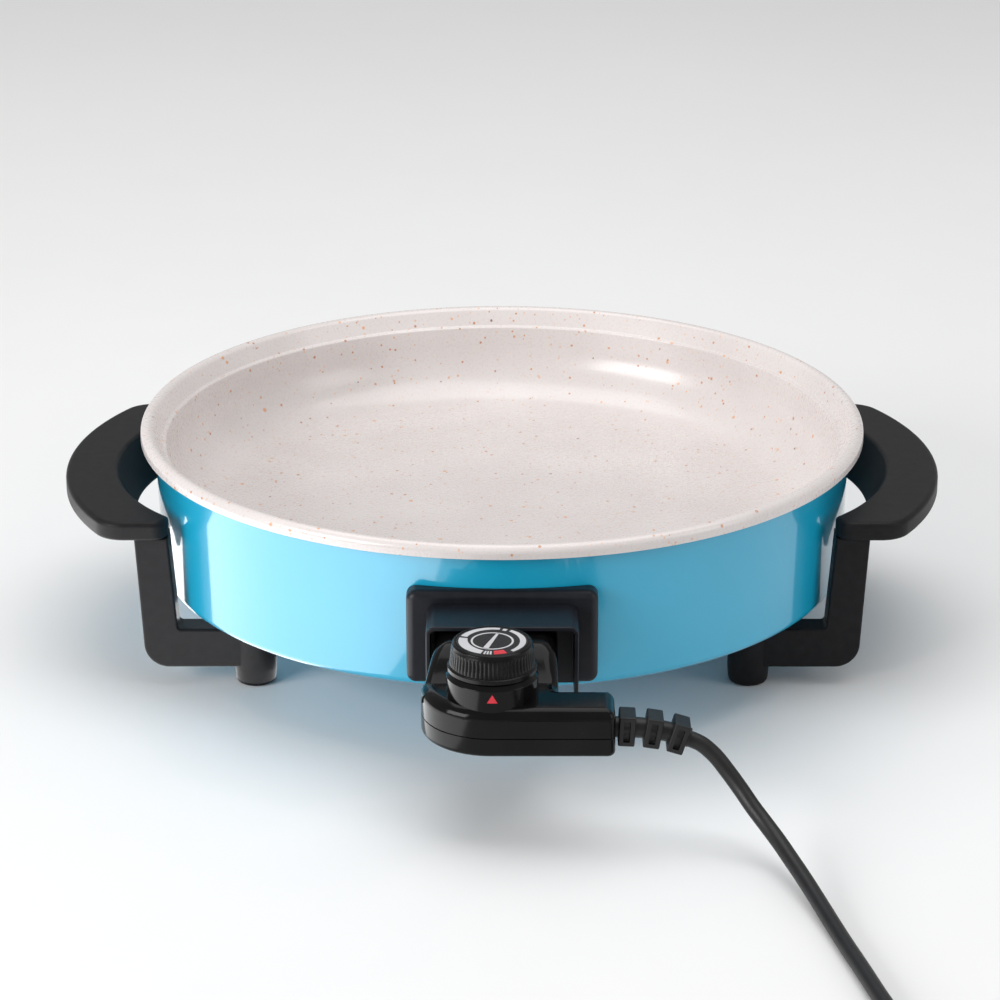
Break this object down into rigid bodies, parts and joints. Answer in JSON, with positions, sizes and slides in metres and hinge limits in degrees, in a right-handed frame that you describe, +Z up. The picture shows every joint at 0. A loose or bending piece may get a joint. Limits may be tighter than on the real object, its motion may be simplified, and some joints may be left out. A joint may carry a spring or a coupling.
{
  "type": "electric griddle",
  "caption": "Round electric griddle pan with rolled rim, side handles, legs, plug-in dial thermostat and mains lead.",
  "frame": {"origin": "on the table under the axis of the pan, in the plane of the four feet", "axes": "+Z up along the axis of the pan; the inlet, the controller and its dial face -Y; the handles lie along X"},
  "size_m": [0.436, 0.734, 0.111],
  "materials": {
    "ceramic_coat": "off-white stone-effect ceramic coat with fine orange and brown specks, satin gloss",
    "pan_aluminium": "pressed aluminium",
    "shell_paint": "gloss sky-blue enamel",
    "element_sheath": "drawn steel sheath",
    "zinc_steel": "zinc-plated steel",
    "terminal_nickel": "nickel-plated brass",
    "insulator_ceramic": "white steatite",
    "contact_brass": "sprung brass",
    "bakelite": "satin black phenolic moulding",
    "controller_gloss": "gloss black moulding",
    "inner_bakelite": "dark phenolic",
    "wire_sheath": "flexible insulation",
    "pointer_red": "red print",
    "cord_rubber": "round black sheath",
    "plug_plastic": "black moulded plug",
    "knob_plastic": "satin black moulding",
    "dial_print": null
  },
  "bodies": {
    "pan": {"ceramic_lining": "ceramic_coat", "cooking_pan": "pan_aluminium", "outer_shell": "shell_paint", "heat_reflector": "pan_aluminium", "heating_element": "element_sheath", "element_clamps": "zinc_steel", "terminal_insulators": "insulator_ceramic", "terminal_pins": "terminal_nickel", "terminal_plate": "zinc_steel", "probe_sleeve": "element_sheath", "earth_blade": "contact_brass", "shell_bolt": "zinc_steel", "inlet_shroud": "bakelite", "shroud_screws": "zinc_steel", "handle_left": "bakelite", "handle_right": "bakelite", "handle_screws": "zinc_steel", "leg_front_left": "bakelite", "leg_front_right": "bakelite", "leg_rear_left": "bakelite", "leg_rear_right": "bakelite", "foot_screws": "zinc_steel"},
    "controller": {"controller_base": "controller_gloss", "controller_cover": "controller_gloss", "controller_screws": "zinc_steel", "socket_block": "inner_bakelite", "socket_clips": "contact_brass", "earth_clip": "contact_brass", "sensor_probe": "element_sheath", "thermostat_frame": "zinc_steel", "bimetal_strip": "contact_brass", "contact_blades": "contact_brass", "cord_clamp": "inner_bakelite", "clamp_screws": "zinc_steel", "lead_wires": "wire_sheath", "pointer_mark": "pointer_red", "strain_relief": "cord_rubber", "power_cord": "cord_rubber", "cord_coil": "cord_rubber", "cord_tail": "cord_rubber", "plug_body": "plug_plastic", "plug_pins": "terminal_nickel", "plug_earth_clips": "terminal_nickel"},
    "knob": {"knob_cap": "knob_plastic", "dial_plate": "dial_print", "knob_shaft": "zinc_steel"}
  },
  "joints": [
    {"name": "controller_plug_out", "type": "slide", "parent": "pan", "child": "controller", "axis": [0, -1, 0], "range_m": [0, 0.075]},
    {"name": "dial_turn", "type": "hinge", "parent": "controller", "child": "knob", "pos_m": [-0.0044, -0.239, 0.08], "axis": [0, 0, 1], "range_deg": [0, 300]}
  ]
}
